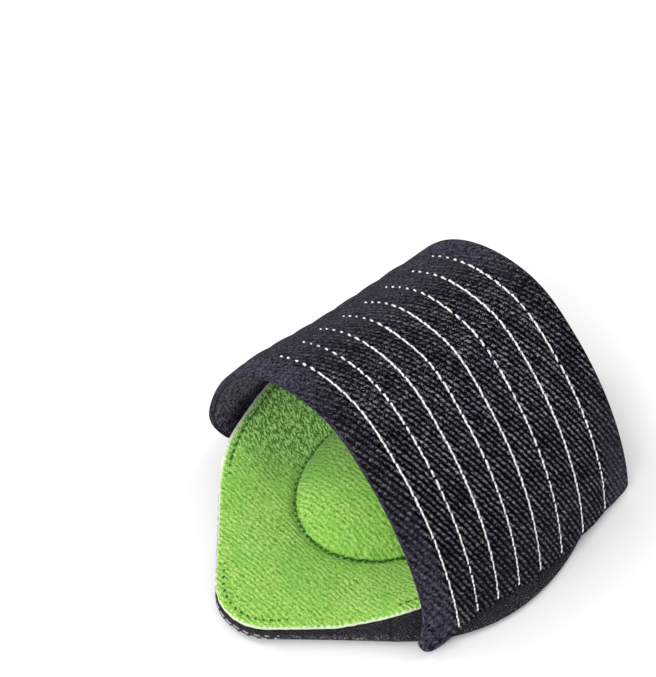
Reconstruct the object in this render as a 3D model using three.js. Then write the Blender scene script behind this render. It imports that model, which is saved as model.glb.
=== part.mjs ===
// Arch support: a cushioned pad under the arch of the foot and a wide elastic band over the instep.
// Millimetres, +Z up. The foot lies along Y, with the open tongue of the pad at -Y.
// The origin is on the floor under the middle of the whole object.
import * as THREE from "three";
import { LoftGeometry } from "three/addons/geometries/LoftGeometry.js";

// Clearance between neighbouring pieces.
const gap = 0.3;

// Place of the pad's middle along X: the band stands out further on the left than the pad on the right.
const padMiddle = 0.37;

// Plan of the pad: two side arcs and two tip arcs joined by straight flanks.
// The foot of its right side swells out towards the tongue, and the tongue's tip leans to the right.
const plan = {
  halfLength: 60.4,
  halfWidth: 45.4,
  sideRadius: 50,
  tipRadius: 13.5,
  points: 72,
  swell: 1.8,
  swellAt: -20,
  swellReach: 26,
  tipLean: 1.4,
};

// Edge of the pad: low at the tips, turned up at the sides, where the band pulls its wall inwards.
// The left side is pinched most at both ends of the band.
const edge = {
  tipHeight: 4,
  rightHeight: 10.4,
  leftHeight: 11.8,
  riseFrom: 20,
  riseTo: 41,
  tipInset: 0.3,
  rightInset: 4.5,
  leftInset: 2.8,
  rightInsetFrom: 40,
  leftInsetFrom: 26,
  insetTo: 8,
  leftPinch: 2.2,
  pinchAt: 22,
  pinchReach: 9,
};

// Black tray below the pad.
const base = {
  floor: 1.8,
  wall: 1.8,
  floorCrown: 0.1,
  bulgeHeight: 1.5,
  footRounding: 1.7,
  ledge: 0.78,
};

// Green cushion with its oval dome.
const cushion = {
  rimThickness: 1.4,
  rimRounding: 1.3,
  valley: 6.4,
  puff: 1.1,
  domeHalfLength: 31,
  domeHalfWidth: 23,
  domeHeight: 9.5,
  grooveDepth: 0.8,
};

// Elastic band: thickness of the cloth, shape of its arch and its lean towards -X.
const band = {
  thickness: 1.8,
  offset: -1.8,
  rightSquareness: 1.73,
  crownSquareness: 2,
  crownFrom: 0.6,
  stationsAround: 44,
};

// Sections of the band from the tongue end to the heel end, to the outside of the cloth.
// The right hem dips to a blunt point close to the tongue end.
const bandSections = [
  { y: -30, rise: 56.6, right: 40, left: 40, leftSquareness: 2.2, hemRight: 5, hemLeft: 6.2 },
  { y: -26.5, rise: 57.2, right: 41.8, left: 41.3, leftSquareness: 2.1, hemRight: 1.6, hemLeft: 4.6 },
  { y: -22, rise: 57.6, right: 43.6, left: 42.6, leftSquareness: 2, hemRight: 3.8, hemLeft: 3.2 },
  { y: 5, rise: 54.2, right: 47, left: 45.6, leftSquareness: 1.74, hemRight: 5, hemLeft: 3.2 },
  { y: 32, rise: 52, right: 43, left: 42.6, leftSquareness: 1.95, hemRight: 3, hemLeft: 2.4 },
  { y: 40, rise: 52, right: 41, left: 40.6, leftSquareness: 2.1, hemRight: 1.4, hemLeft: 1.4 },
];

// Places of the rings along the band, closer together at the blunt point.
const bandStations = [-30, -28.6, -27.4, -26.2, -24.4, -22, -17.5, -12.5, -7, -1, 5, 11, 17, 23, 29, 35, 40];

// Loose corners at the tongue end: the right one flares forward, its seam draws the left one in and back.
const corner = {
  height: 22,
  reach: 16,
  flareRight: 1.8,
  forwardRight: 9.6,
  forwardReach: 10,
  tuckLeft: 3.8,
  backLeft: 10,
};

const cloth = {
  band: new THREE.MeshStandardMaterial({ color: 0x2e2c34, roughness: 0.92 }),
  cushion: new THREE.MeshStandardMaterial({ color: 0x7cc243, roughness: 0.95 }),
  base: new THREE.MeshStandardMaterial({ color: 0x26262b, roughness: 0.9 }),
};

const { lerp, smoothstep } = THREE.MathUtils;

// How far the foot of the right side swells out at a place of the outline.
function rightSwell(point) {
  const away = (point.y - plan.swellAt) / plan.swellReach;
  return plan.swell * Math.exp(-away * away) * smoothstep(point.x, 4, 30);
}

// Plan outline of the pad, evenly stepped and counterclockwise from above, with its outward normals.
function planOutline() {
  const sideCentre = plan.halfWidth - plan.sideRadius;
  const tipCentre = plan.halfLength - plan.tipRadius;
  const reach = Math.hypot(sideCentre, tipCentre);
  const flankTurn = Math.asin((plan.sideRadius - plan.tipRadius) / reach) + Math.atan2(sideCentre, tipCentre);
  const path = new THREE.Path();
  path.absarc(sideCentre, 0, plan.sideRadius, -flankTurn, flankTurn);
  path.absarc(0, tipCentre, plan.tipRadius, flankTurn, Math.PI - flankTurn);
  path.absarc(-sideCentre, 0, plan.sideRadius, Math.PI - flankTurn, Math.PI + flankTurn);
  path.absarc(0, -tipCentre, plan.tipRadius, Math.PI + flankTurn, 2 * Math.PI - flankTurn);
  path.closePath();
  const points = path.getSpacedPoints(plan.points).slice(0, plan.points);
  points.forEach((point) => {
    const lean = plan.tipLean * smoothstep(-point.y, 30, plan.halfLength);
    point.x += rightSwell(point) + lean;
  });
  return points.map((point, i) => {
    const before = points[(i + plan.points - 1) % plan.points];
    const after = points[(i + 1) % plan.points];
    const along = after.clone().sub(before).normalize();
    return { point, normal: new THREE.Vector2(along.y, -along.x) };
  });
}

const outline = planOutline();

// Height of the top of the black wall at a place of the outline.
function wallHeight(point) {
  const sideHeight = point.x > 0 ? edge.rightHeight : edge.leftHeight;
  return lerp(edge.tipHeight, sideHeight, smoothstep(Math.abs(point.x), edge.riseFrom, edge.riseTo));
}

// How far the top of the wall stands inside the outline.
function wallInset(point) {
  const sideInset = point.x > 0 ? edge.rightInset : edge.leftInset;
  const insetFrom = point.x > 0 ? edge.rightInsetFrom : edge.leftInsetFrom;
  const inset = lerp(sideInset, edge.tipInset, smoothstep(Math.abs(point.y), edge.insetTo, insetFrom));
  if (point.x > 0) {
    return inset + rightSwell(point);
  }
  const fromPinch = (Math.abs(point.y) - edge.pinchAt) / edge.pinchReach;
  return inset + edge.leftPinch * Math.exp(-fromPinch * fromPinch) * smoothstep(-point.x, 4, 30);
}

// Ring around the pad, at an inset from the outline and a height, both given for each place.
function ring(insetAt, heightAt) {
  return outline.map(({ point, normal }) => {
    const inset = insetAt(point);
    return new THREE.Vector3(point.x - normal.x * inset, point.y - normal.y * inset, heightAt(point));
  });
}

// Point of the dome's oval in the direction of a place of the outline.
function domeOval(point) {
  const turn = Math.atan2(point.y / cushion.domeHalfLength, point.x / cushion.domeHalfWidth);
  return new THREE.Vector2(
    cushion.domeHalfWidth * Math.cos(turn),
    cushion.domeHalfLength * Math.sin(turn),
  );
}

// Ring of the dome's oval shrunk towards the middle, at a level height.
function ovalRing(share, height) {
  return outline.map(({ point }) => {
    const oval = domeOval(point).multiplyScalar(share);
    return new THREE.Vector3(oval.x, oval.y, height);
  });
}

// Tray: its flat underside, its bulged side wall and its inside.
function makeBase() {
  const bulge = (p) => Math.min(base.bulgeHeight, wallHeight(p) * 0.5);
  const ledge = (p) => lerp(bulge(p), wallHeight(p), 0.36);
  const insideFoot = (p) => wallInset(p) + base.wall + 1.2;
  return new LoftGeometry(
    [
      ring(() => base.footRounding, () => 0),
      ring(() => 0.7, (p) => bulge(p) * 0.35),
      ring(() => 0, bulge),
      ring((p) => wallInset(p) * base.ledge, ledge),
      ring(wallInset, wallHeight),
      ring((p) => wallInset(p) + base.wall, wallHeight),
      ring(insideFoot, () => base.floor + 0.6),
      ring((p) => insideFoot(p) + 1.5, () => base.floor),
      ovalRing(1, base.floor + base.floorCrown),
    ],
    { capStart: true, capEnd: true },
  );
}

// Ring of the top between the rim (0) and the dome's oval (1).
function collarRing(share) {
  return outline.map(({ point, normal }) => {
    const inset = wallInset(point) + cushion.rimRounding;
    const rim = new THREE.Vector2(point.x - normal.x * inset, point.y - normal.y * inset);
    const rimTop = wallHeight(point) + gap + cushion.rimThickness + 0.35;
    const place = rim.lerp(domeOval(point), share);
    const puff = cushion.puff * Math.sin(Math.PI * share);
    const sewn = cushion.grooveDepth * smoothstep(share, 0.9, 1);
    const height = lerp(rimTop, cushion.valley, smoothstep(share, 0, 0.85)) + puff - sewn;
    return new THREE.Vector3(place.x, place.y, height);
  });
}

// Ring of the dome, from its sewn oval (1) to its middle (0).
function domeRing(share) {
  const foot = cushion.valley - cushion.grooveDepth;
  const swell = Math.pow(1 - Math.pow(share, 2.4), 0.8);
  const height = foot + (cushion.domeHeight + cushion.grooveDepth) * swell;
  return ovalRing(share, height);
}

// Cushion: its underside inside the tray, its rim over the tray's wall, the collar and the dome.
function makeCushion() {
  const inside = (p) => wallInset(p) + base.wall + gap;
  const underside = base.floor + gap;
  const rimFoot = (p) => wallHeight(p) + gap;
  const rimTop = (p) => rimFoot(p) + cushion.rimThickness;
  return new LoftGeometry(
    [
      ring((p) => inside(p) + 2.9, () => underside),
      ring((p) => inside(p) + 1.4, () => underside + 0.7),
      ring(inside, rimFoot),
      ring(wallInset, rimFoot),
      ring(wallInset, (p) => rimTop(p) - 0.3),
      ring((p) => wallInset(p) + 0.4, rimTop),
      collarRing(0),
      collarRing(0.2),
      collarRing(0.45),
      collarRing(0.7),
      collarRing(0.9),
      domeRing(1),
      domeRing(0.94),
      domeRing(0.85),
      domeRing(0.7),
      domeRing(0.5),
      domeRing(0.28),
      domeRing(0.05),
    ],
    { capStart: true, capEnd: true },
  );
}

// Smooth value of a column of the band's sections at a place along Y.
function sectionAt(y, column) {
  const last = bandSections.length - 1;
  let i = 0;
  while (i < last - 1 && y > bandSections[i + 1].y) {
    i += 1;
  }
  const [from, to] = [bandSections[i], bandSections[i + 1]];
  const slope = (k) => {
    const [a, b] = [bandSections[Math.max(k - 1, 0)], bandSections[Math.min(k + 1, last)]];
    return (b[column] - a[column]) / (b.y - a.y);
  };
  const span = to.y - from.y;
  const t = (y - from.y) / span;
  const ease = t * t * (3 - 2 * t);
  const bend = t * (1 - t) * ((1 - t) * slope(i) - t * slope(i + 1)) * span;
  return lerp(from[column], to[column], ease) + bend;
}

// Point of the arch's outside; turn runs from 0 at the right hem to 1 at the left hem.
function archPoint(y, turn) {
  const right = turn < 0.5;
  const rise = sectionAt(y, "rise");
  const halfWidth = sectionAt(y, right ? "right" : "left");
  const hem = sectionAt(y, right ? "hemRight" : "hemLeft");
  const up = right ? turn * 2 : 2 - turn * 2;
  const side = right ? band.rightSquareness : sectionAt(y, "leftSquareness");
  const squareness = lerp(side, band.crownSquareness, smoothstep(up, band.crownFrom, 1));
  const hemTurn = Math.asin(Math.pow(hem / rise, squareness / 2));
  const angle = lerp(hemTurn, Math.PI / 2, up);
  const x = halfWidth * Math.pow(Math.max(Math.cos(angle), 0), 2 / squareness);
  const z = rise * Math.pow(Math.sin(angle), 2 / squareness);
  return new THREE.Vector2(right ? x : -x, z);
}

// Pull of the loose corners at a height, full at the tongue end's hem and none further up or back.
function cornerPull(y, z, reach) {
  const low = Math.max(1 - z / corner.height, 0);
  const near = 1 - smoothstep(y, bandSections[0].y, bandSections[0].y + reach);
  return low * low * near;
}

// Closed section of the band's wall at a place along Y.
function bandRing(y) {
  const outside = [];
  for (let i = 0; i <= band.stationsAround; i += 1) {
    outside.push(archPoint(y, i / band.stationsAround));
  }
  const inside = outside.map((point, i) => {
    const before = outside[Math.max(i - 1, 0)];
    const after = outside[Math.min(i + 1, band.stationsAround)];
    const along = after.clone().sub(before).normalize();
    return new THREE.Vector2(point.x - along.y * band.thickness, point.y + along.x * band.thickness);
  });
  const loop = [...outside, ...inside.reverse()];
  return loop.reverse().map((point) => {
    const pull = cornerPull(y, point.y, corner.reach);
    const sideways = pull * (point.x > 0 ? corner.flareRight : corner.tuckLeft);
    const forward = corner.forwardRight * cornerPull(y, point.y, corner.forwardReach) ** 2;
    const back = point.x > 0 ? -forward : corner.backLeft * pull;
    return new THREE.Vector3(point.x + sideways + band.offset, y + back, point.y);
  });
}

// Band: one cloth wall lofted along Y.
function makeBand() {
  return new LoftGeometry(bandStations.map(bandRing), { capStart: true, capEnd: true });
}

function addPiece(group, name, geometry, material) {
  const mesh = new THREE.Mesh(geometry, material);
  mesh.name = name;
  mesh.position.x = padMiddle;
  group.add(mesh);
}

const archSupport = new THREE.Group();
addPiece(archSupport, "instep_band", makeBand(), cloth.band);
addPiece(archSupport, "pad_top", makeCushion(), cloth.cushion);
addPiece(archSupport, "pad_base", makeBase(), cloth.base);

export default archSupport;
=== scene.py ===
import math

import bpy
import numpy as np
from mathutils import Matrix, Vector, noise
from mathutils.kdtree import KDTree


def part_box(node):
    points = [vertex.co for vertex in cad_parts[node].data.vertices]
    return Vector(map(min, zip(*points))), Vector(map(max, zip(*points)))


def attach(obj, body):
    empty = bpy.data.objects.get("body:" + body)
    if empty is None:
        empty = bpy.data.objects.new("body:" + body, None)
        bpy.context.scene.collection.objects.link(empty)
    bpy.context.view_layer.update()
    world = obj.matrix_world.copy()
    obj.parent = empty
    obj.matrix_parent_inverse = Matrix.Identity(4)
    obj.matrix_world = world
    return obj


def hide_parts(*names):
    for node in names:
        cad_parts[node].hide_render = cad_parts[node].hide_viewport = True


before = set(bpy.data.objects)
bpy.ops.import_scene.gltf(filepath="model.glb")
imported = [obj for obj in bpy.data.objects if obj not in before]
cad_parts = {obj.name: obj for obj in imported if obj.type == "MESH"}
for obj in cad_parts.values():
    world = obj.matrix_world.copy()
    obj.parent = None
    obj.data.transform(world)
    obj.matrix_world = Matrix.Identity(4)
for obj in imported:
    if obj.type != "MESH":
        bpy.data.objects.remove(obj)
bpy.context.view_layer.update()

mm = 0.001
padBox = [np.array(corner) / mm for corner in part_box("pad_base")]


def ease(value, low, high):
    share = np.clip((np.asarray(value, float) - low) / (high - low), 0, 1)
    return share * share * (3 - 2 * share)


def between(first, second, share):
    return first + (second - first) * share


def hill(distance, width):  # 1 at no distance, falling away to both sides
    return np.exp(-(distance / width) ** 2)


def unit(rows):
    return rows / np.maximum(np.linalg.norm(rows, axis=-1, keepdims=True), 1e-9)


def lengthAlong(line):  # distance along a line at each of its points
    return np.concatenate([[0], np.cumsum(np.linalg.norm(np.diff(line, axis=0), axis=1))])


def onLine(at, length, rows):  # rows read off at distances along their line
    return np.stack([np.interp(at, length, column) for column in rows.T], 1)


def closed(rows):  # a ring's rows, with the first one again at the end
    return np.concatenate([rows, rows[:1]])


def softNoise(points, size, seed):  # smooth noise, about -1 to 1, with lumps of this size in mm
    rows = points.reshape(-1, 3) / size + np.array([seed * 7.3, seed * 3.1, seed * 5.7])
    return np.array([noise.noise(Vector(row)) for row in rows]).reshape(points.shape[:-1])


def ringFaces(rings, around, first=0):  # quads between neighbouring closed rings
    r, c = np.meshgrid(np.arange(rings - 1), np.arange(around), indexing="ij")
    after = (c + 1) % around
    low, high = r * around, (r + 1) * around
    quads = np.stack([low + c, low + after, high + after, high + c], -1)
    return (quads.reshape(-1, 4) + first).tolist()


def gridNormals(grid, closedColumns=False):  # columns run along U, rows along V, normal is U x V
    if closedColumns:
        alongU = np.roll(grid, -1, 1) - np.roll(grid, 1, 1)
    else:
        alongU = np.gradient(grid, axis=1)
    return unit(np.cross(alongU, np.gradient(grid, axis=0)))


def addPiece(name, points, faces, material, marks):
    mesh = bpy.data.meshes.new(name)
    mesh.from_pydata((np.asarray(points) * mm).tolist(), [], faces)
    mesh.polygons.foreach_set("use_smooth", [True] * len(mesh.polygons))
    for label, values in marks.items():
        layer = mesh.attributes.new(label, "FLOAT_VECTOR", "POINT")
        layer.data.foreach_set("vector", np.asarray(values, np.float32).ravel())
    mesh.materials.append(material)
    mesh.update()
    piece = bpy.data.objects.new(name, mesh)
    bpy.context.scene.collection.objects.link(piece)
    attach(piece, "root")
    return piece


class Wire:  # a shader socket that can be used in sums
    def __init__(self, shade, socket):
        self.shade, self.socket = shade, socket

    def out(self, name):
        return Wire(self.shade, self.socket.node.outputs[name])

    def math(self, operation, *others):
        return self.shade.maths(operation, self, *others)

    def __add__(self, other):
        return self.math("ADD", other)

    def __radd__(self, other):
        return self.shade.maths("ADD", other, self)

    def __sub__(self, other):
        return self.math("SUBTRACT", other)

    def __rsub__(self, other):
        return self.shade.maths("SUBTRACT", other, self)

    def __mul__(self, other):
        return self.math("MULTIPLY", other)

    def __rmul__(self, other):
        return self.shade.maths("MULTIPLY", other, self)

    def __truediv__(self, other):
        return self.math("DIVIDE", other)


class Shade:  # one material and its nodes
    def __init__(self, name):
        self.material = bpy.data.materials.new(name)
        self.material.use_nodes = True
        self.tree = self.material.node_tree
        self.tree.nodes.clear()

    def node(self, kind, settings, sockets, out=0):
        made = self.tree.nodes.new(kind)
        for name, value in settings.items():
            setattr(made, name, value)
        for name, value in sockets.items():
            if isinstance(value, Wire):
                self.tree.links.new(value.socket, made.inputs[name])
            else:
                made.inputs[name].default_value = value
        return None if out is None else Wire(self, made.outputs[out])

    def maths(self, operation, *values):
        return self.node("ShaderNodeMath", {"operation": operation}, dict(enumerate(values)))

    def sine(self, turns):  # half a wave for each whole number
        return (turns * math.pi).math("SINE")

    def step(self, value, low, high):
        settings = {"interpolation_type": "SMOOTHSTEP"}
        return self.node("ShaderNodeMapRange", settings, {"Value": value, "From Min": low, "From Max": high})

    def blend(self, share, first, second):
        first, second = [(*c, 1) if isinstance(c, tuple) else c for c in (first, second)]
        return self.node("ShaderNodeMix", {"data_type": "RGBA"}, {0: share, 6: first, 7: second}, out=2)

    def attribute(self, name):
        return self.node("ShaderNodeAttribute", {"attribute_name": name}, {}, out="Vector")

    def split(self, vector):
        parts = self.node("ShaderNodeSeparateXYZ", {}, {"Vector": vector})
        return parts.out("X"), parts.out("Y"), parts.out("Z")

    def join(self, x, y, z):
        return self.node("ShaderNodeCombineXYZ", {}, {"X": x, "Y": y, "Z": z})

    def noise(self, vector, scale, detail=2.0, roughness=0.5):
        sockets = {"Vector": vector, "Scale": scale, "Detail": detail, "Roughness": roughness}
        return self.node("ShaderNodeTexNoise", {}, sockets)

    def chance(self, x, y):  # one random value for each pair of whole numbers
        cell = self.join(x, y, 0.0)
        return self.node("ShaderNodeTexWhiteNoise", {"noise_dimensions": "2D"}, {"Vector": cell})

    def bump(self, height, distance):
        return self.node("ShaderNodeBump", {}, {"Height": height, "Distance": distance * mm})

    def cloth(self, colour, roughness, normal, fixed):
        sockets = {"Base Color": colour, "Roughness": roughness, "Normal": normal, **fixed}
        shader = self.node("ShaderNodeBsdfPrincipled", {}, sockets)
        self.node("ShaderNodeOutputMaterial", {}, {"Surface": shader}, out=None)
        return self.material


twill = {
    "ribU": 0.62, "ribV": -1.58,  # mm, the step along a rib
    "nextU": 1.6, "nextV": -0.3,  # mm, the step to the next rib
    "gap": (0.0006, 0.0005, 0.001), "dark": (0.008, 0.007, 0.013),
    "light": (0.35, 0.345, 0.38), "cool": (0.25, 0.23, 0.335),
    # inside: a paler copy of plain for the band's inner face, painted light under the arch
    "plain": (0.095, 0.085, 0.13), "inside": (0.28, 0.24, 0.36),
    "crownFrom": -40.0, "crownTo": 0.0, "broken": 2.0,  # mm up the cloth, where the ribs break into specks
    "grainU": 2.3, "grainV": 1.8,  # grains in a mm of the plain cloth
    "wander": 0.45, "fuzz": 2.5, "clump": 1.2, "patch": 0.16,  # noise scales
    "bump": 0.25,  # mm
}


def makeTwill():
    shade = Shade("charcoalElastic")
    place = shade.attribute("weave")
    u, v, contrast = shade.split(place)  # contrast is below 0 on the inside of the band
    wander = shade.noise(place, twill["wander"], 1.0)
    fuzz = shade.noise(place, twill["fuzz"], 2.0, 0.65)
    clump = shade.noise(place, twill["clump"], 1.0)
    patch = shade.noise(place, twill["patch"], 2.0)
    broken = shade.step(v, twill["crownFrom"], twill["crownTo"]) * twill["broken"]
    area = twill["ribU"] * twill["nextV"] - twill["ribV"] * twill["nextU"]
    across = u * (-twill["ribV"] / area) + v * (twill["ribU"] / area)
    across = across + (wander - 0.5) * 0.55 + (fuzz - 0.5) * (0.3 + broken)
    along = u * (twill["nextV"] / area) - v * (twill["nextU"] / area) + (clump - 0.5) * 0.8
    rib = across.math("FLOOR")
    along = along + shade.chance(rib, 3.0) * 0.5
    pick = along.math("FLOOR")
    tone = shade.chance(rib, pick)
    ridge = shade.sine(across - rib)
    swell = shade.sine(along - pick)
    ribTop = shade.step(ridge + (fuzz - 0.5) * 1.7, 0.56, 1.14)
    pickTop = shade.step(swell + (fuzz - 0.5) * 1.4, 0.2, 0.95)
    yarn = ribTop * (0.16 + 0.84 * pickTop)
    paleFlecks = shade.step(clump + (fuzz - 0.5) * 0.5, 0.3, 0.68)
    fleck = (0.22 + 0.5 * tone + 0.4 * shade.chance(rib, 9.0)) * (0.4 + 0.6 * paleFlecks)
    light = shade.blend(shade.step(patch, 0.4, 0.65), twill["light"], twill["cool"])
    colour = shade.blend(fleck * (0.3 + 0.7 * contrast), twill["dark"], light)
    colour = shade.blend(yarn, twill["gap"], colour)
    grainU = u * twill["grainU"] + (wander - 0.5) * 3.0
    grainV = v * twill["grainV"] + (patch - 0.5) * 6.0
    grain = shade.chance(grainU.math("FLOOR"), grainV.math("FLOOR"))
    speck = shade.step(grain * 0.6 + fuzz * 0.4, 0.2, 0.8)
    # painted light: the inner face is speckled with the paler inside colour
    plain = shade.blend(shade.step(contrast, -0.8, -0.2), twill["inside"], twill["plain"])
    ribbed = shade.step(contrast, 0.0, 0.7)
    colour = shade.blend(ribbed, shade.blend(speck, twill["dark"], plain), colour)
    height = ridge * (0.45 + 0.55 * swell) * (0.3 + 0.7 * ribbed) + fuzz * 0.4
    roughness = 0.97 - 0.12 * yarn
    return shade.cloth(colour, roughness, shade.bump(height, twill["bump"]), {"Specular IOR Level": 0.03})


threadLooks = {  # twist in turns for each mm; deep is painted shade between the plies
    "whiteThread": {"pale": (0.98, 0.98, 0.98), "deep": (0.6, 0.6, 0.63), "twist": 0.75},
    "greenThread": {"pale": (0.04, 0.2, 0.018), "deep": (0.012, 0.085, 0.007), "twist": 2.2},
    "greyThread": {"pale": (0.72, 0.72, 0.73), "deep": (0.4, 0.4, 0.42), "twist": 2.2},
}


def makeThread(name):
    shade = Shade(name)
    look = threadLooks[name]
    place = shade.attribute("weave")
    lie, around = shade.split(place)[:2]  # along the stitch and around it
    ply = ((lie * look["twist"] + around) * math.tau).math("SINE")
    fuzz = shade.noise(place, 2.5, 2.0)
    # painted shade: the deep colour darkens the grooves between the plies
    colour = shade.blend(shade.step(ply + (fuzz - 0.5), -0.9, 0.6), look["deep"], look["pale"])
    fixed = {"Sheen Weight": 0.1, "Specular IOR Level": 0.3}
    return shade.cloth(colour, 0.7 + 0.15 * fuzz, shade.bump(ply, 0.08), fixed)


padHalfWidth = 45.4
pad = {  # mm, the same plan as its solids
    "middle": padBox[0][0] + padHalfWidth, "halfLength": padBox[1][1], "halfWidth": padHalfWidth,
    "sideRadius": 50, "tipRadius": 13.5, "arcPoints": 300, "around": 480,
    "swell": 1.8, "swellAt": -20, "swellReach": 26, "tipLean": 1.4, "leanFrom": 30,
    "leftPinch": 2.2, "pinchAt": 22, "pinchReach": 9, "sideFrom": 4, "sideTo": 30,
    "tipHeight": 4, "rightHeight": 10.4, "leftHeight": padBox[1][2], "riseFrom": 20, "riseTo": 41,
    "tipInset": 0.3, "rightInset": 4.5, "leftInset": 2.8,
    "insetTo": 8, "rightInsetFrom": 40, "leftInsetFrom": 26,
    "gap": 0.3, "baseWall": 1.8, "lipInset": 1.3, "lipHeight": 1.75, "ragged": 0.18,
    "valley": 6.4, "valleyAt": 0.85, "puff": 0.6, "groove": 0.7, "grooveWidth": 1.1,
    "domeLength": 31, "domeWidth": 23, "domeHeight": 8.7, "domePitch": 1.9,
    "domeBunch": 1.5, "domeTop": 0.985, "domeSquare": 2.4, "domeRound": 0.8,
    "seamWidth": 0.85, "domeSeam": 0.55, "shade": 0.3, "shadeWidth": 4,
    "edgeWidth": 4, "edgeStitch": 1.2, "tipStitch": 0.7, "stitchFrom": 24, "stitchTo": 54,
    "edgeDepth": 0.45, "edgeDip": 0.55, "edgePitch": 2.0,
    "flankFrom": 32, "flankTo": 37, "tipFrom": 52.5, "tipTo": 55.5, "pipedFrom": 12, "pipedTo": 28,
    "puckerPitch": 4.2, "pucker": 0.2, "puckerReach": 2.2, "puckerStart": 0.7, "lumps": 0.25,
}
plush = {
    "hole": (0.07, 0.27, 0.025), "mid": (0.28, 0.565, 0.078), "pale": (0.58, 0.81, 0.27),
    # cool: the pile's cooler patches, and also its painted shade under the band
    "cool": (0.13, 0.5, 0.055), "tip": (0.62, 1.0, 0.32), "deep": (0.03, 0.22, 0.015),
    # the dark seam colour: the sewn lines' dark green, partly painted shade in their grooves and beside the
    # dome
    "seam": (0.01, 0.075, 0.006), "rim": (0.76, 0.81, 0.6),
    "pile": 0.7, "rowPitch": 1.15, "toothPitch": 1.4,  # mm
    "wander": 0.35, "tufts": 2.1, "clouds": 0.09,  # noise scales
    "paintedShadeUnderBand": (-32.0, -4.0), "streaksAndPaintedLight": (-20.0, 4.0), "streaksAndPaintedLightEnd": (4.0, 20.0),  # mm, where each sets in
    "raggedSide": (-30.0, -14.0), "domeFoot": (0.85, 1.1),  # mm, and shares of the dome's plan
}


def makePlush():
    shade = Shade("greenPlush")
    where = shade.node("ShaderNodeTexCoord", {}, {}, out="Object")
    where = shade.node("ShaderNodeVectorMath", {"operation": "SCALE"}, {0: where, "Scale": 1 / mm})
    x, y, z = shade.split(where)
    rim, seam, lie = shade.split(shade.attribute("marks"))
    wander = shade.noise(where, plush["wander"], 1.0)
    rows = ((y / plush["rowPitch"] + wander * 1.4) * math.tau).math("SINE")
    loops = shade.noise(shade.join(x * 1.15, y * 1.75, z * 1.2), 1.0, 3.0, 0.7)
    tufts = shade.noise(where, plush["tufts"], 2.0, 0.6)
    clouds = shade.noise(where, plush["clouds"], 2.0)
    pile = loops * 0.66 + tufts * 0.34 + rows * 0.055
    colour = shade.blend(shade.step(pile, 0.33, 0.5), plush["hole"], plush["mid"])
    colour = shade.blend(shade.step(pile, 0.48, 0.66), colour, plush["pale"])
    # painted shade: the pile under the band, beside the dome, is tinted towards cool
    paintedShadeUnderBand = shade.step(y - x * 0.5, *plush["paintedShadeUnderBand"]) * 0.16
    colour = shade.blend(shade.step(clouds, 0.45, 0.7) * 0.3 + paintedShadeUnderBand, colour, plush["cool"])
    streaksAndPaintedLight = shade.step(y - x * 0.6, *plush["streaksAndPaintedLight"])  # under the band, beside the dome: the pile's own streaks, painted paler as painted light in the shaded valley
    streaksAndPaintedLight = streaksAndPaintedLight * (1 - 0.75 * shade.step(y, *plush["streaksAndPaintedLightEnd"]))
    fromDome = x * x / pad["domeWidth"] ** 2 + y * y / pad["domeLength"] ** 2
    streaksAndPaintedLight = streaksAndPaintedLight * (0.25 + 0.75 * shade.step(fromDome, *plush["domeFoot"]))
    streaks = shade.noise(shade.join(x * 0.8 - y * 0.3, x * 0.8 + y * 2.2, z), 1.0, 2.0, 0.6)
    tips = shade.step(streaks * 0.75 + tufts * 0.25, 0.43, 0.58)
    # painted light: tip is paler than the rest of the pile, and deep and tip draw the streaks
    colour = shade.blend(streaksAndPaintedLight * 0.85, colour, shade.blend(tips, plush["deep"], plush["tip"]))
    # the sewn lines turn dark green, partly painted shade in their grooves and in the valley beside the dome
    sewn = shade.step(seam + (tufts - 0.5) * 1.9 + (loops - 0.5) * 1.3, 0.42, 0.95)
    colour = shade.blend(sewn, colour, plush["seam"])
    teeth = shade.sine(lie / plush["toothPitch"] + wander).math("ABSOLUTE")
    uneven = (teeth - 0.5) * 0.3 + (tufts - 0.5) * 0.7
    uneven = uneven * (0.25 + 0.75 * shade.step(x, *plush["raggedSide"]))
    ragged = shade.step(rim + uneven, 0.0, 0.4)
    colour = shade.blend(ragged * 0.92, colour, plush["rim"])
    fixed = {
        "Sheen Weight": 0.2, "Sheen Roughness": 0.45, "Sheen Tint": (0.8, 1, 0.6, 1),
        "Specular IOR Level": 0.12,
    }
    return shade.cloth(colour, 0.85 + 0.12 * pile, shade.bump(pile, plush["pile"]), fixed)


backing = {
    "gap": (0.006, 0.006, 0.008), "dark": (0.02, 0.02, 0.025), "light": (0.34, 0.34, 0.37),
    "pitch": 0.8, "bump": 0.2,  # mm
    "wander": 0.8, "fuzz": 2.8,  # noise scales
}


def makeBacking():
    shade = Shade("blackBacking")
    place = shade.attribute("weave")
    along, up, paleFlecks = shade.split(place)
    wander = shade.noise(place, backing["wander"], 2.0)
    fuzz = shade.noise(place, backing["fuzz"], 3.0, 0.65)
    first = (along + up) / backing["pitch"] + (wander - 0.5) * 2.5
    second = (along - up) / backing["pitch"] + (wander - 0.5) * 2.5
    cell = shade.chance(first.math("FLOOR"), second.math("FLOOR"))
    knot = shade.sine(first.math("FRACT")) * shade.sine(second.math("FRACT"))
    # the third mark makes the flecks paler on bare cloth and as a painted highlight on the lower edge, while
    # the painted shadow under the lip keeps them dark
    fleck = (0.15 + 0.85 * cell) * shade.step(fuzz, 0.36, 0.62) * (0.3 + 0.7 * paleFlecks)
    colour = shade.blend(fleck, backing["dark"], backing["light"])
    colour = shade.blend(shade.step(knot, 0.05, 0.6), backing["gap"], colour)
    height = shade.bump(knot + fuzz * 0.5, backing["bump"])
    return shade.cloth(colour, 0.95 - 0.1 * knot, height, {"Specular IOR Level": 0.08})


looks = {"twill": makeTwill(), "plush": makePlush(), "backing": makeBacking()}
for name in threadLooks:
    looks[name] = makeThread(name)
print("materials made", list(looks))

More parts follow.
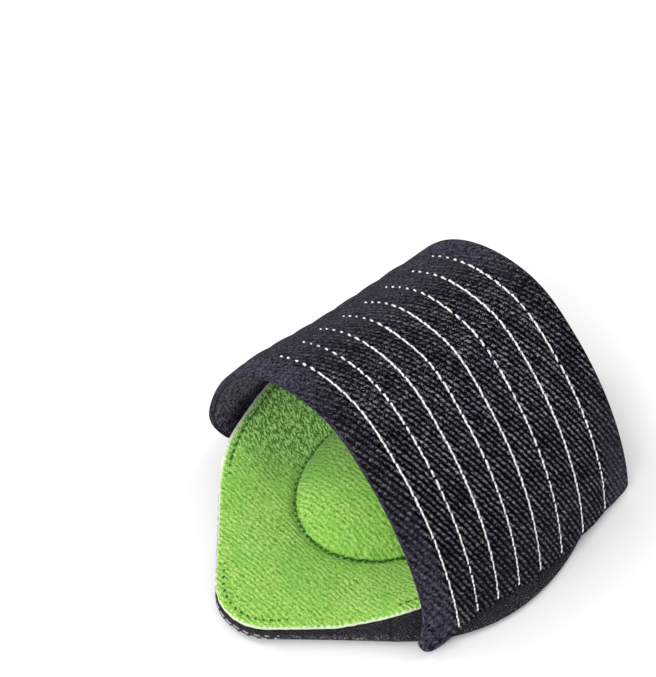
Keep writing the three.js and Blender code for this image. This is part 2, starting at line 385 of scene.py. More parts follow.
sewing = {  # mm, what the rows of thread share
    "thin": 1, "loose": [0.2], "sink": 0, "twist": 0.1, "flat": 0.8, "sides": 6, "steps": 7, "start": 0,
    "jitter": 0.1, "least": 0.2, "thinFrom": 4, "thinTo": 36, "ply": 0.75,
}


def sewStitches(name, paths, sew, material):  # short bent strands whose ends dip into the cloth
    turns = np.arange(sew["sides"]) / sew["sides"]
    ring = turns * math.tau
    lie = np.linspace(-1, 1, sew["steps"])
    points, faces, marks = [], [], []
    chance = np.random.default_rng(sew["seed"])
    for row, (path, normals, shares) in enumerate(paths):
        length = lengthAlong(path)
        for number in range(int((length[-1] - sew["start"]) / sew["pitch"])):
            stray = chance.uniform(-sew["jitter"], sew["jitter"])
            middle = sew["start"] + (number + 0.5) * sew["pitch"] + stray
            share = np.interp(middle, length, shares)
            slack = 1 - sew["loose"][row % len(sew["loose"])] * chance.random() ** 2
            half = sew["length"] / 2 * chance.uniform(0.96, 1.05) * share * slack
            if share < sew["least"]:
                continue
            at = np.clip(middle + lie * half, 0, length[-1])
            line = onLine(at, length, path)
            out = unit(onLine(at, length, normals))
            side = unit(np.cross(unit(np.gradient(line, axis=0)), out))
            skew = sew["skew"] * chance.uniform(0.5, 1.4)
            rise = sew["lift"] - sew["sink"] * (1 - share) - sew["dip"] * lie ** 6
            line = line + side * (lie * skew)[:, None] + out * rise[:, None]
            twist = 1 + sew["twist"] * np.sin((at * sew["ply"] + chance.random()) * math.tau)
            twist = twist * between(sew["thin"], 1, ease(middle, sew["thinFrom"], sew["thinTo"]))
            ends = np.sqrt(np.maximum(1 - lie ** 8, 0.12))
            girth = sew["radius"] * ends * chance.uniform(0.88, 1.1) * twist
            loop = line[:, None] + side[:, None] * (girth[:, None] * np.cos(ring))[..., None]
            loop = loop + out[:, None] * (girth[:, None] * sew["flat"] * np.sin(ring))[..., None]
            first = len(points) * len(lie) * len(ring)
            last = first + (len(lie) - 1) * len(ring)
            points.append(loop.reshape(-1, 3))
            faces += ringFaces(len(lie), len(ring), first)
            faces.append([first + i for i in reversed(range(len(ring)))])
            faces.append([last + i for i in range(len(ring))])
            place = np.meshgrid(at, turns, indexing="ij")
            marks.append(np.stack([*place, np.full_like(place[0], number)], -1).reshape(-1, 3))
    return addPiece(name, np.concatenate(points), faces, material, {"weave": np.concatenate(marks)})


def rightSwell(points):
    side = ease(points[:, 0], pad["sideFrom"], pad["sideTo"])
    return pad["swell"] * hill(points[:, 1] - pad["swellAt"], pad["swellReach"]) * side


def padOutline():  # points of the plan, their outward directions and the distance around
    side, tip = pad["halfWidth"] - pad["sideRadius"], pad["halfLength"] - pad["tipRadius"]
    turn = math.asin((pad["sideRadius"] - pad["tipRadius"]) / math.hypot(side, tip)) + math.atan2(side, tip)
    arcs = [
        (side, 0, pad["sideRadius"], -turn, turn),
        (0, tip, pad["tipRadius"], turn, math.pi - turn),
        (-side, 0, pad["sideRadius"], math.pi - turn, math.pi + turn),
        (0, -tip, pad["tipRadius"], math.pi + turn, math.tau - turn),
    ]
    rows = []
    for x, y, radius, first, last in arcs:
        angle = np.linspace(first, last, pad["arcPoints"])
        rows.append(np.stack([x + radius * np.cos(angle), y + radius * np.sin(angle)], 1))
    dense = closed(np.concatenate(rows))
    length = lengthAlong(dense)
    at = np.linspace(0, length[-1], pad["around"], endpoint=False)
    points = onLine(at, length, dense)
    lean = pad["tipLean"] * ease(-points[:, 1], pad["leanFrom"], pad["halfLength"])
    points[:, 0] += rightSwell(points) + lean
    along = unit(np.roll(points, -1, 0) - np.roll(points, 1, 0))
    return points, np.stack([along[:, 1], -along[:, 0]], 1), at


outline, outward, lieAround = padOutline()
onRight = outline[:, 0] > 0
fromMiddle = np.abs(outline[:, 1])
sideHeight = np.where(onRight, pad["rightHeight"], pad["leftHeight"])
wallRise = ease(np.abs(outline[:, 0]), pad["riseFrom"], pad["riseTo"])
wallHeight = between(pad["tipHeight"], sideHeight, wallRise)
sideInset = np.where(onRight, pad["rightInset"], pad["leftInset"])
insetFrom = np.where(onRight, pad["rightInsetFrom"], pad["leftInsetFrom"])
wallInset = between(sideInset, pad["tipInset"], ease(fromMiddle, pad["insetTo"], insetFrom))
pinch = pad["leftPinch"] * hill(fromMiddle - pad["pinchAt"], pad["pinchReach"])
pinch = pinch * ease(-outline[:, 0], pad["sideFrom"], pad["sideTo"])
wallInset = wallInset + np.where(onRight, rightSwell(outline), pinch)
ovalTurn = np.arctan2(outline[:, 1] / pad["domeLength"], outline[:, 0] / pad["domeWidth"])
oval = np.stack([pad["domeWidth"] * np.cos(ovalTurn), pad["domeLength"] * np.sin(ovalTurn)], 1)
ovalLie = np.cumsum(np.linalg.norm(oval - np.roll(oval, 1, 0), axis=1))
ovalWave = np.cos(ovalLie / pad["puckerPitch"] * math.tau)
ovalWave = ovalWave + 0.6 * np.cos(ovalLie / pad["puckerPitch"] * 3.83 + 1)
flank = ease(fromMiddle, pad["flankFrom"], pad["flankTo"])
piped = ease(-outline[:, 0], pad["pipedFrom"], pad["pipedTo"])  # the pale edge turns up over the left side
tipShown = 0.6 * ease(fromMiddle, pad["tipFrom"], pad["tipTo"])
edgeShown = 1 - 0.85 * flank * (1 - tipShown)  # the sewn edge is sunk along the tongue's flanks
edgeSide = ease(-fromMiddle, -pad["stitchTo"], -pad["stitchFrom"])
edgeLine = between(pad["tipStitch"], pad["edgeStitch"], edgeSide)  # how far in the edge is sewn


def padRing(inset, height):
    place = outline - outward * np.broadcast_to(inset, len(outline))[:, None]
    return np.column_stack([place, np.broadcast_to(height, len(outline))])


def ringBody(grid):  # points and faces of a closed body, its first and last ring filled in
    count, around = grid.shape[:2]
    faces = ringFaces(count, around)
    points = np.concatenate([grid.reshape(-1, 3), grid[:1].mean(1), grid[-1:].mean(1)])
    low, high = len(points) - 2, len(points) - 1
    top = (count - 1) * around
    faces += [[(i + 1) % around, i, low] for i in range(around)]
    faces += [[top + i, top + (i + 1) % around, high] for i in range(around)]
    return points, faces


def closeRings(name, rings, material, label, marks):
    grid = np.stack(rings)
    grid[..., 0] += pad["middle"]
    points, faces = ringBody(grid)
    rows = np.stack(marks)
    values = np.concatenate([rows.reshape(-1, 3), rows[:1].mean(1), rows[-1:].mean(1)])
    return addPiece(name, points, faces, material, {label: values}), grid


padRows = {"lip": 12, "edge": 15, "collar": 33, "dome": 43}  # rings in each part of the cover
padUnder = {"inset": [9, 2.9, 1.4], "height": [0, 0, 0.7]}  # mm, in from the tray's wall, up from its floor
padLip = {  # mm, in from the top of the wall and up from it
    "inset": [1.0, 0.35, 0.08, 0, 0.04, 0.18, 0.45, 0.8],
    "height": [0.02, 0.06, 0.3, 0.65, 1.0, 1.32, 1.56, 1.68],
}
padRim = {  # how pale the edge is at the foot of the lip, its loss for each mm up, and on the cover
    "right": {"foot": 1.2, "fall": 0.85, "cover": -0.35},
    "left": {"foot": 1.3, "fall": 0.5, "cover": 0.0},
    "flank": {"foot": 1.1, "fall": 0.62, "cover": -0.4},
    "inward": 1.4,
}
swelling = {
    "voxel": 3.0, "cap": 1.6, "held": 2.4,  # mm
    "pressure": 4.0, "frames": 20, "near": 6, "soften": 0.5, "upFrom": 0.2, "upTo": 0.5,
}


def evaluatedMesh(piece):
    return bpy.data.meshes.new_from_object(piece.evaluated_get(bpy.context.evaluated_depsgraph_get()))


def swellPad(rings):  # the cover swells like a cushion, held below, at its edge and at the dome's seam
    scene = bpy.context.scene
    points, faces = ringBody(np.stack(rings))
    mesh = bpy.data.meshes.new("swelling")
    mesh.from_pydata((points * mm).tolist(), [], faces)
    cover = bpy.data.objects.new("swelling", mesh)
    scene.collection.objects.link(cover)
    even = cover.modifiers.new("even", "REMESH")
    even.mode, even.voxel_size = "VOXEL", swelling["voxel"] * mm
    cover.data = evaluatedMesh(cover)
    cover.modifiers.clear()
    rest = np.array([vertex.co for vertex in cover.data.vertices]) / mm
    upward = np.array([vertex.normal.z for vertex in cover.data.vertices])
    sewn = np.concatenate([oval, rings[padRows["lip"]][:, :2]])
    fromSeam = np.array([np.min(np.hypot(*(sewn - place[:2]).T)) for place in rest])
    atSeam = 1 - ease(fromSeam, swelling["held"] * 0.5, swelling["held"])
    group = cover.vertex_groups.new(name="held")
    held = np.maximum(atSeam, 1 - ease(upward, swelling["upFrom"], swelling["upTo"]))
    for index, weight in enumerate(held):
        group.add([index], float(weight), "REPLACE")
    cloth = cover.modifiers.new("cover", "CLOTH")
    cloth.settings.vertex_group_mass = "held"
    cloth.settings.use_pressure = True
    cloth.settings.uniform_pressure_force = swelling["pressure"]
    cloth.settings.effector_weights.gravity = 0
    cloth.point_cache.frame_end = swelling["frames"]
    for step in range(1, swelling["frames"] + 1):
        scene.frame_set(step)
    moved = np.array([vertex.co for vertex in evaluatedMesh(cover).vertices]) / mm - rest
    scene.frame_set(1)
    bpy.data.objects.remove(cover)
    size = np.linalg.norm(moved, axis=1, keepdims=True)
    moved = moved / (1 + size / swelling["cap"])
    kept = np.linalg.norm(moved, axis=1)
    print("cover swelled, most", round(float(size.max()), 2), "mm, kept", round(float(kept.max()), 2))
    tree = KDTree(len(rest))
    for index, place in enumerate(rest):
        tree.insert(place, index)
    tree.balance()
    for place in rings[padRows["lip"]:]:
        for index, point in enumerate(place):
            _, near, away = zip(*tree.find_n(point, swelling["near"]))
            weights = 1 / (np.square(away) + swelling["soften"])
            place[index] = point + weights @ moved[list(near)] / weights.sum()


def pucker(fromSeam):  # gathers beside the dome's seam
    reach = np.exp(-fromSeam / pad["puckerReach"])
    return pad["pucker"] * ovalWave * reach * (1 - hill(fromSeam, pad["puckerStart"]))


def rimAround(right, left, flankValue):  # one value for each kind of side, spread around the pad
    return between(right, between(left, flankValue, flank), piped)


def makePadTop():
    rings, marks = [], []
    noRim = -9

    def add(place, rim, seam):
        rings.append(place)
        values = [np.broadcast_to(part, len(outline)) for part in (rim, seam, lieAround)]
        marks.append(np.column_stack(values))

    inside = wallInset + pad["baseWall"] + pad["gap"]
    under = pad["baseWall"] + pad["gap"]
    foot = wallHeight + pad["gap"]
    for inset, height in zip(padUnder["inset"], padUnder["height"]):
        add(padRing(inside + inset, under + height), noRim, 0)
    add(padRing(inside, foot), noRim, 0)
    sides = [padRim[side] for side in ("right", "left", "flank")]
    ragged = pad["ragged"] * softNoise(padRing(0, 0), 1.3, 4)
    for inset, height in zip(padLip["inset"], padLip["height"]):
        rim = rimAround(*[side["foot"] - side["fall"] * height for side in sides])
        add(padRing(wallInset + inset + ragged, foot + height), rim, 0)
    start = padRing(wallInset + pad["lipInset"], 0)[:, :2]
    reach = np.linalg.norm(oval - start, axis=1)
    edgeWave = 0.55 + 0.45 * np.cos(lieAround / pad["edgePitch"] * math.tau)
    edgeWave = edgeWave * (0.55 + 0.9 * softNoise(padRing(0, 0), 9, 12)) * edgeShown
    ovalDots = 0.62 + 0.38 * np.cos(ovalLie / pad["domePitch"] * math.tau)
    ovalDots = ovalDots + 0.3 * softNoise(padRing(0, 0), 6, 14)
    rimTop = rimAround(*[side["cover"] for side in sides])
    edge = pad["edgeWidth"]
    steps = [np.full(len(outline), d) for d in np.linspace(0, edge, padRows["edge"])]
    steps += [edge + (reach - edge) * t for t in np.linspace(0, 1, padRows["collar"] + 1)[1:]]
    for step in steps:  # from the lip in to the dome's seam
        share, fromSeam = step / reach, reach - step
        height = between(foot + pad["lipHeight"], pad["valley"], ease(share, 0, pad["valleyAt"]))
        height = height + pad["puff"] * np.sin(math.pi * share)
        height = height - pad["groove"] * hill(fromSeam, pad["grooveWidth"])
        edgeDip = hill(step - edgeLine, pad["edgeDip"])
        height = height - pad["edgeDepth"] * edgeDip * edgeWave + pucker(fromSeam)
        # partly painted shade: the edge's stitch dimples are darkened
        edgeSeam = edgeDip * (0.5 * edgeShown + 0.5 * edgeWave)
        seam = np.maximum(hill(fromSeam, pad["seamWidth"]) * ovalDots, edgeSeam)
        # painted shade: a broad darkening in the valley beside the dome's seam
        seam = np.maximum(seam, pad["shade"] * hill(fromSeam, pad["shadeWidth"]))
        place = np.column_stack([between(start, oval, share[:, None]), height])
        add(place, rimTop - padRim["inward"] * step, seam)
    climb = np.linspace(0, 1, padRows["dome"] + 1)[1:]
    for share in 1 - climb ** pad["domeBunch"] * pad["domeTop"]:  # from the seam up the dome
        fromSeam = np.linalg.norm(oval, axis=1) * (1 - share)
        swell = (1 - share ** pad["domeSquare"]) ** pad["domeRound"]
        height = pad["valley"] - pad["groove"] + (pad["domeHeight"] + pad["groove"]) * swell
        place = np.column_stack([oval * share, height + pucker(fromSeam)])
        add(place, noRim, hill(fromSeam, pad["domeSeam"]))
    swellPad(rings)
    for place in rings[padRows["lip"]:]:
        place[:, 2] += pad["lumps"] * (softNoise(place, 15, 1) + 0.4 * softNoise(place, 5, 2))
    return closeRings("padTop", rings, looks["plush"], "marks", marks)


padTop, padGrid = makePadTop()
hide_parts("pad_top")
print("pad top made", len(padTop.data.vertices), "points")

base = {  # mm
    "bulge": 1.5, "foot": 1.7, "wall": pad["baseWall"], "floor": pad["baseWall"],
    "ledge": 0.78, "ledgeAt": 0.36, "wallRings": 12,
    "lumps": 0.15, "lumpRings": slice(6, 16), "bareFrom": 26, "bareTo": 42, "lipShadowFrom": 1.9, "lipShadowTo": 3.1,
    "threadRings": (6, 10), "threadFrom": 30, "threadTo": 17, "threadFade": 11,
}


def makePadBase():
    bulge = np.minimum(base["bulge"], wallHeight * 0.5)
    ledge = between(bulge, wallHeight, base["ledgeAt"])
    ledgeInset = wallInset * base["ledge"]
    rows = [(base["foot"] + 8, 0), (base["foot"], 0), (1.2, 0.1)]
    rows += [(0.7, bulge * 0.35), (0.25, bulge * 0.66), (0, bulge)]
    for t in np.linspace(0, 1, base["wallRings"])[1:]:  # the wall bends in over its ledge
        inset = between(between(0, ledgeInset, t), between(ledgeInset, wallInset, t), t)
        rows.append((inset, between(between(bulge, ledge, t), between(ledge, wallHeight, t), t)))
    inside = wallInset + base["wall"]
    rows += [(wallInset + 0.4, wallHeight + 0.06), (inside, wallHeight)]
    rows += [(inside + 1.2, base["floor"] + 0.6), (inside + 2.7, base["floor"])]
    rings = [padRing(inset, height) for inset, height in rows]
    for place in rings[base["lumpRings"]]:
        lump = base["lumps"] * softNoise(place, 4, 9)
        place[:, :2] += outward * lump[:, None]
    lie = np.zeros(len(outline))
    bare = ease(fromMiddle, base["bareFrom"], base["bareTo"])  # paler where the band leaves it bare
    marks = []
    for before, place in zip([rings[0], *rings], rings):
        lie = lie + np.linalg.norm(place - before, axis=1)
        # painted highlight: the rounded lower edge is made paler
        lowEdgeHighlight = hill(place[:, 2] - 0.9, 0.8)
        # painted shadow: the top of the wall, under the cover's lip, stays dark
        paleFlecks = 1.3 * bare * (1 - ease(place[:, 2], base["lipShadowFrom"], base["lipShadowTo"]))
        marks.append(np.column_stack([lieAround, lie, np.maximum(paleFlecks, lowEdgeHighlight * 0.5)]))
    return closeRings("padBase", rings, looks["backing"], "weave", marks)


padBase, baseGrid = makePadBase()
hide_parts("pad_base")
print("pad base made", len(padBase.data.vertices), "points")

domeSew = {
    **sewing, "pitch": 1.7, "length": 1.6, "radius": 0.33, "lift": 0.06, "dip": 0.35, "skew": 0.62,
    "seed": 3, "loose": [0.7], "twist": 0.3,
}
edgeSew = {
    **sewing, "pitch": 2.0, "length": 1.6, "radius": 0.29, "lift": 0.03, "dip": 0.35, "skew": 0.16,
    "seed": 5, "loose": [0.5], "start": 1,
}
baseSew = {
    **sewing, "pitch": 2.7, "length": 2.3, "radius": 0.17, "lift": 0.1, "dip": 0.3, "skew": 0.1, "seed": 7,
}


def ringPath(grid, row):
    path, out = grid[row], gridNormals(grid, closedColumns=True)[row]
    return closed(path), closed(out), np.ones(len(path) + 1)


def edgePath():  # the sewn line runs between the rings, nearer the edge at the tips
    at = padRows["lip"] + edgeLine / pad["edgeWidth"] * (padRows["edge"] - 1)
    low = at.astype(int)
    share = (at - low)[:, None]
    normals = gridNormals(padGrid, closedColumns=True)
    columns = np.arange(len(at))
    path = between(padGrid[low, columns], padGrid[low + 1, columns], share)
    out = unit(between(normals[low, columns], normals[low + 1, columns], share))
    return closed(path), closed(out), closed(edgeShown)


def basePaths():  # rows of thread around both tips, where the band leaves the base bare
    paths = []
    for row in base["threadRings"]:
        path, normals, shares = ringPath(baseGrid, row)
        bare = (np.abs(path[:-1, 1]) > base["threadFrom"]) & (path[:-1, 0] < base["threadTo"])
        bare = np.where(bare)[0]
        for part in np.split(bare, np.where(np.diff(bare) > 1)[0] + 1):
            fade = ease(base["threadTo"] - path[part, 0], 0, base["threadFade"])
            paths.append((path[part], normals[part], shares[part] * fade))
    return paths


domeRow = padRows["lip"] + padRows["edge"] + padRows["collar"] - 1
domeThread = sewStitches("domeThread", [ringPath(padGrid, domeRow)], domeSew, looks["greenThread"])
edgeThread = sewStitches("edgeThread", [edgePath()], edgeSew, looks["greenThread"])
baseThread = sewStitches("baseThread", basePaths(), baseSew, looks["greyThread"])
print("pad threads sewn")

band = {  # mm
    "thickness": 1.7, "offset": -1.8, "rows": 220, "columns": 150, "lengthAt": 5,
    "rightSquareness": 1.73, "crownSquareness": 2, "crownFrom": 0.6, "farCorner": 3,
    "cornerHeight": 22, "cornerReach": 16, "flareRight": 1.8, "forwardRight": 9.6, "forwardReach": 10,
    "tuckLeft": 3.8, "backLeft": 10,
    "groove": 0.28, "grooveWidth": 0.55, "pillow": 0.22, "lumps": 0.16,
    "firstLine": -22, "linePitch": 7.7, "lines": 8,
    "lineLean": 6.4, "leanFrom": -8, "leanTo": -72, "leanStart": -24, "leanLength": 64, "leanBend": 1.1,
    "nearContrast": 0.58, "farContrast": 0.68, "margin": 3,
    "calm": 0.6, "calmRise": (-14, 16), "calmFall": (36, 52), "lowWallShade": 0.42, "lowWall": (24, 64),
    "edgeTurns": [22, 45, 68, 90, 112, 135, 158], "hemTurns": [80, 55, 28],  # degrees
}
bandSections = {  # mm, from the tongue end to the heel end
    "y": [-30, -26.5, -22, 5, 32, 40],
    "rise": [56.6, 57.2, 57.6, 54.2, 52, 52],
    "right": [40, 41.8, 43.6, 47, 43, 41],
    "left": [40, 41.3, 42.6, 45.6, 42.6, 40.6],
    "leftSquareness": [2.2, 2.1, 2, 1.74, 1.95, 2.1],
    "hemRight": [5, 1.6, 3.8, 5, 3, 1.4],
    "hemLeft": [6.2, 4.6, 3.2, 3.2, 2.4, 1.4],
}
lineColumns = [band["firstLine"] + k * band["linePitch"] for k in range(band["lines"])]


def sectionAt(y, column):  # a smooth curve through one column of the sections
    at, values = bandSections["y"], bandSections[column]
    last = len(at) - 1
    i = 0
    while i < last - 1 and y > at[i + 1]:
        i += 1
    slope = []
    for k in (i, i + 1):
        a, b = max(k - 1, 0), min(k + 1, last)
        slope.append((values[b] - values[a]) / (at[b] - at[a]))
    span = at[i + 1] - at[i]
    t = (y - at[i]) / span
    bend = t * (1 - t) * ((1 - t) * slope[0] - t * slope[1]) * span
    return between(values[i], values[i + 1], t * t * (3 - 2 * t)) + bend


def archLine(y, count=600):  # outside of the cloth at one place along Y, from the right hem to the left hem
    turn = np.linspace(0, 1, count)
    right = turn < 0.5
    rise = sectionAt(y, "rise")
    halfWidth = np.where(right, sectionAt(y, "right"), sectionAt(y, "left"))
    fromEnd = max(band["farCorner"] - (bandSections["y"][-1] - y), 0)
    corner = band["farCorner"] - math.sqrt(max(band["farCorner"] ** 2 - fromEnd ** 2, 0))
    hem = np.where(right, sectionAt(y, "hemRight") + corner, sectionAt(y, "hemLeft") + corner * 0.5)
    up = np.where(right, turn * 2, 2 - turn * 2)
    side = np.where(right, band["rightSquareness"], sectionAt(y, "leftSquareness"))
    squareness = between(side, band["crownSquareness"], ease(up, band["crownFrom"], 1))
    hemTurn = np.arcsin((hem / rise) ** (squareness / 2))
    angle = between(hemTurn, math.pi / 2, up)
    x = halfWidth * np.maximum(np.cos(angle), 0) ** (2 / squareness)
    z = rise * np.sin(angle) ** (2 / squareness)
    x = np.where(right, x, -x)
    start = bandSections["y"][0]
    low = np.maximum(1 - z / band["cornerHeight"], 0) ** 2
    pull = low * (1 - ease(y, start, start + band["cornerReach"]))
    point = low * (1 - ease(y, start, start + band["forwardReach"]))
    x = x + pull * np.where(x > 0, band["flareRight"], band["tuckLeft"])
    back = np.where(right, -band["forwardRight"] * point ** 2, band["backLeft"] * pull)
    line = np.stack([x + band["offset"] + pad["middle"], y + back, z], 1)
    length = lengthAlong(line)
    return line, length, np.interp(0.5, turn, length)


def bandGrid(columns, rows):
    half = band["thickness"] / 2
    grid, lie = [], []
    for y in columns:
        line, length, crown = archLine(y)
        at = np.linspace(half, length[-1] - half, rows)
        grid.append(onLine(at, length, line))
        lie.append(at - crown)
    return np.stack(grid, 1), np.stack(lie, 1)


def clothPlace(y, lie):  # place across the flat cloth, which is drawn towards the tongue low on the right
    pull = np.clip((lie - band["leanFrom"]) / (band["leanTo"] - band["leanFrom"]), 0, 1) ** band["leanBend"]
    across = np.clip((y - band["leanStart"]) / band["leanLength"], 0, 1)
    return y + band["lineLean"] * np.sin(math.pi * across) * pull


def clothRelief(flat, grid):  # rows of thread pull shallow grooves, the cloth between them pads out
    firstLine, lastLine = lineColumns[0], lineColumns[-1]
    nearest = np.min(np.abs(flat[..., None] - np.array(lineColumns)), -1)
    inside = ease(flat, firstLine - 1, firstLine) * (1 - ease(flat, lastLine, lastLine + 1))
    pillow = band["pillow"] * ease(nearest, 0, band["linePitch"] / 2) * inside
    groove = band["groove"] * hill(nearest, band["grooveWidth"])
    lumps = softNoise(grid, 12, 6) + 0.5 * softNoise(grid, 4, 8)
    return pillow - groove + band["lumps"] * lumps


def weaveContrast(flat, lie):  # calmer at both margins and over the crown, and calmer and darker low on the walls, which is painted shade
    firstLine, lastLine = lineColumns[0], lineColumns[-1]
    near = between(band["nearContrast"], 1, ease(flat, firstLine - band["margin"], firstLine))
    far = between(1, band["farContrast"], ease(flat, lastLine, lastLine + band["margin"]))
    calm = band["calm"] * ease(lie, *band["calmRise"]) * (1 - ease(lie, *band["calmFall"]))
    # painted shade: the cloth is darker low on the walls
    low = band["lowWallShade"] * ease(np.abs(lie), *band["lowWall"])
    return near * far * ((1 - calm) * (1 - low))


lineSew = {  # mm
    **sewing, "pitch": 3.0, "length": 3.3, "radius": 0.27, "flat": 0.75, "lift": 0.14, "dip": 0.3,
    "skew": 0.12, "sink": 0.1, "start": 0.4, "sides": 8, "steps": 15, "seed": 11, "twist": 0.2, "thin": 0.76,
    "loose": [0.06, 0.45, 0.06, 0.4],
    "late": 4.6, "lateRows": (-26, 14), "early": 1,  # the far rows turn to dots further up
    "dots": 0.66, "dotsOver": 13, "dotsEnd": (46, 56),
    "gone": 0.34, "goneFrom": 19, "goneTo": 24, "goneEnd": (42, 48),
}


def stitchShare(line, lie):  # over the crown the stitches shrink to dots and sink
    late = lineSew["late"] * ease(line, *lineSew["lateRows"]) - lineSew["early"]
    dots = lineSew["dots"] * ease(lie, late, late + lineSew["dotsOver"])
    dots = dots * (1 - ease(lie, *lineSew["dotsEnd"]))
    gone = lineSew["gone"] * ease(lie, late + lineSew["goneFrom"], late + lineSew["goneTo"])
    gone = gone * (1 - ease(lie, *lineSew["goneEnd"]))
    return 1 - dots - gone


def threadPaths(outer, out, flat, lie):
    count = flat.shape[1]
    rows = np.arange(len(flat))
    paths = []
    for line in lineColumns:
        at = np.array([np.interp(line, row, np.arange(count)) for row in flat])
        low = np.minimum(at.astype(int), count - 2)
        share = (at - low)[:, None]
        path = between(outer[rows, low], outer[rows, low + 1], share)
        normal = unit(between(out[rows, low], out[rows, low + 1], share))
        paths.append((path, normal, stitchShare(line, lie[:, count // 2])))
    return paths


def hemFaces(start, columns, lip, around):  # fills one hem, between the outside and the inside of the cloth
    caps = []
    for i in range(columns - 1):
        innerAt = columns + lip + (columns - 1 - i)
        caps.append([start + i, start + i + 1, start + innerAt - 1, start + innerAt])
    caps.append([start + i for i in range(columns - 1, columns + lip + 1)])
    caps.append([start + i % around for i in range(columns + lip + columns - 1, around + 1)])
    return caps


def makeBand():
    half = band["thickness"] / 2
    first, last = bandSections["y"][0] + half, bandSections["y"][-1] - half
    columns = np.linspace(first, last, band["columns"])
    grid, lie = bandGrid(columns, band["rows"])
    out = gridNormals(grid)
    flat = clothPlace(columns[None], lie)
    outer = grid + out * clothRelief(flat, grid)[..., None]
    middle = grid - out * half
    inner = grid - out * band["thickness"]
    contrast = weaveContrast(flat, lie)
    edgeFar = unit(grid[:, -1] - grid[:, -2])
    edgeNear = unit(grid[:, 0] - grid[:, 1])
    turns = np.radians(band["edgeTurns"])
    loops, marks = [], []

    def add(points, place, up, outside):
        loops.append(points)
        marks.append(np.stack(np.broadcast_arrays(place, up, outside), -1))

    for i in range(len(columns)):
        add(outer[:, i], columns[i], lie[:, i], contrast[:, i])
    for turn in turns:
        edge = middle[:, -1] + out[:, -1] * half * math.cos(turn) + edgeFar * half * math.sin(turn)
        add(edge, last + half * turn, lie[:, -1], 0.3)
    for i in reversed(range(len(columns))):
        add(inner[:, i], columns[i], lie[:, i], -1.0)
    for turn in turns:
        edge = middle[:, 0] - out[:, 0] * half * math.cos(turn) + edgeNear * half * math.sin(turn)
        add(edge, first - half * (math.pi - turn), lie[:, 0], 0.3)
    loop, mark = np.stack(loops, 1), np.stack(marks, 1)
    farEdge, nearEdge = [np.repeat(middle[:, [i]], len(turns), 1) for i in (-1, 0)]
    centre = np.concatenate([middle, farEdge, middle[:, ::-1], nearEdge], 1)
    hems = []
    for row, neighbour in ((0, 1), (-1, -2)):  # rounded hems
        along = unit(centre[row] - centre[neighbour])
        for turn in np.radians(band["hemTurns"]):
            swing = (loop[row] - centre[row]) * math.cos(turn)
            hems.append(centre[row] + swing + along * half * math.sin(turn))
    count = len(band["hemTurns"])
    full = np.concatenate([hems[:count], loop, hems[:count - 1:-1]])
    fullMarks = np.concatenate([mark[:1].repeat(count, 0), mark, mark[-1:].repeat(count, 0)])
    rings, around = full.shape[:2]
    faces = ringFaces(rings, around)
    faces += [face[::-1] for face in hemFaces(0, len(columns), len(turns), around)]
    faces += hemFaces((rings - 1) * around, len(columns), len(turns), around)
    weave = {"weave": fullMarks.reshape(-1, 3)}
    piece = addPiece("instepBand", full.reshape(-1, 3), faces, looks["twill"], weave)
    return piece, threadPaths(outer, out, flat, lie)


instepBand, linePaths = makeBand()
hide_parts("instep_band")
print("band made", len(instepBand.data.vertices), "points")

bandThread = sewStitches("bandThread", linePaths, lineSew, looks["whiteThread"])
bandLength = archLine(band["lengthAt"])[1][-1]
print("band threads sewn, cloth", round(bandLength, 1), "mm from hem to hem")

shot = {
    "width": 656, "height": 677, "focal": 2830, "targetAt": (415, 424),  # pixels
    "target": (pad["middle"] - 1.8, 5, 20), "distance": 700,  # mm
    "azimuth": 46, "elevation": 50, "sensor": 36, "clip": (0.05, 20),
}


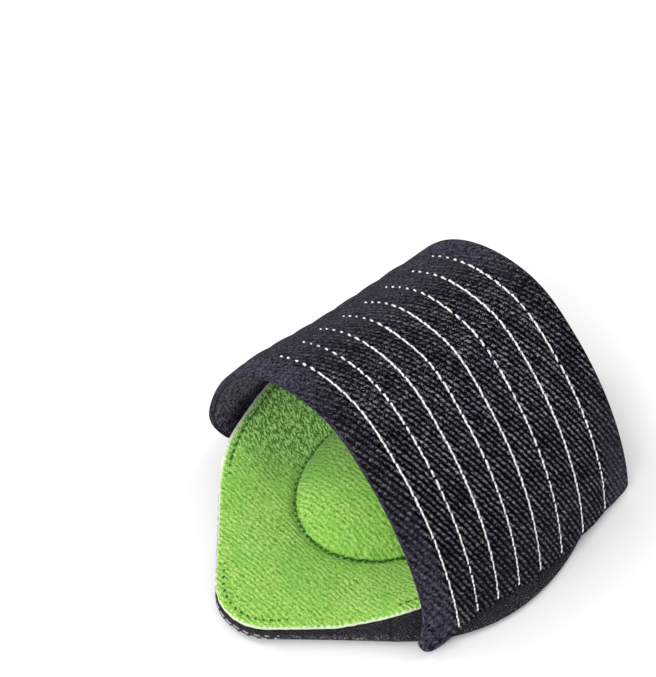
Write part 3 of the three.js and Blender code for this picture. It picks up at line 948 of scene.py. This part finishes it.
def makeCamera():  # the photograph's angle, aimed off the middle of the object
    azimuth, elevation = math.radians(shot["azimuth"]), math.radians(shot["elevation"])
    flatReach = math.cos(elevation)
    back = Vector((math.sin(azimuth) * flatReach, -math.cos(azimuth) * flatReach, math.sin(elevation)))
    right = Vector((math.cos(azimuth), math.sin(azimuth), 0))
    up = back.cross(right)
    perPixel = shot["distance"] / shot["focal"]
    across = (shot["width"] / 2 - shot["targetAt"][0]) * perPixel
    above = (shot["targetAt"][1] - shot["height"] / 2) * perPixel
    target = Vector(shot["target"])
    aim = target + right * across + up * above
    data = bpy.data.cameras.new("photoCamera")
    data.sensor_width = shot["sensor"]
    data.lens = shot["focal"] * shot["sensor"] / max(shot["width"], shot["height"])
    data.clip_start, data.clip_end = shot["clip"]
    camera = bpy.data.objects.new("photoCamera", data)
    camera.location = (target + back * shot["distance"]) * mm
    camera.rotation_mode = "QUATERNION"
    forward = (aim * mm - camera.location).normalized()
    level = forward.cross(up).normalized()
    camera.rotation_quaternion = Matrix((level, level.cross(forward), -forward)).transposed().to_quaternion()
    bpy.context.scene.collection.objects.link(camera)
    bpy.context.scene.camera = camera


studio = {
    "floor": 3.0, "floorDrop": 0.0002, "world": 0.72,
    "floorDark": (0.88, 0.88, 0.88), "floorLight": (0.91, 0.91, 0.91),
    "lamps": {  # place in metres, size, watts
        "keyLamp": ((-1.0, -0.5, 1.05), 0.7, 7),
        "sideLamp": ((0.4, -0.8, 1.0), 0.7, 5.8),
        "backLamp": ((0.2, 0.9, 1.0), 0.8, 4),
        "frontLamp": ((-0.3, -1.2, 0.6), 0.6, 4),
    },
}


def makeFloor():
    shade = Shade("paleFloor")
    where = shade.node("ShaderNodeTexCoord", {}, {}, out="Object")
    grain = shade.noise(where, 40.0, 2.0)
    colour = shade.blend(grain, studio["floorDark"], studio["floorLight"])
    material = shade.cloth(colour, 0.85 + 0.1 * grain, shade.bump(grain, 0.02), {"Specular IOR Level": 0.1})
    half = studio["floor"]
    corners = [(-half, -half, 0), (half, -half, 0), (half, half, 0), (-half, half, 0)]
    mesh = bpy.data.meshes.new("floor")
    mesh.from_pydata(corners, [], [(0, 1, 2, 3)])
    mesh.materials.append(material)
    floor = bpy.data.objects.new("floor", mesh)
    floor.location.z = -studio["floorDrop"]
    bpy.context.scene.collection.objects.link(floor)


def makeLight():
    world = bpy.data.worlds.new("studio")
    world.use_nodes = True
    sky = world.node_tree.nodes["Background"].inputs
    sky["Color"].default_value = (1, 1, 1, 1)
    sky["Strength"].default_value = studio["world"]
    bpy.context.scene.world = world
    for name, (place, size, watts) in studio["lamps"].items():
        lamp = bpy.data.lights.new(name, "AREA")
        lamp.shape, lamp.size, lamp.energy = "DISK", size, watts
        holder = bpy.data.objects.new(name, lamp)
        holder.location = place
        holder.rotation_mode = "QUATERNION"
        holder.rotation_quaternion = (-Vector(place)).to_track_quat("-Z", "Y")
        bpy.context.scene.collection.objects.link(holder)
    bpy.context.scene.view_settings.view_transform = "Standard"


makeCamera()
makeFloor()
makeLight()
print("camera, floor and lamps placed")
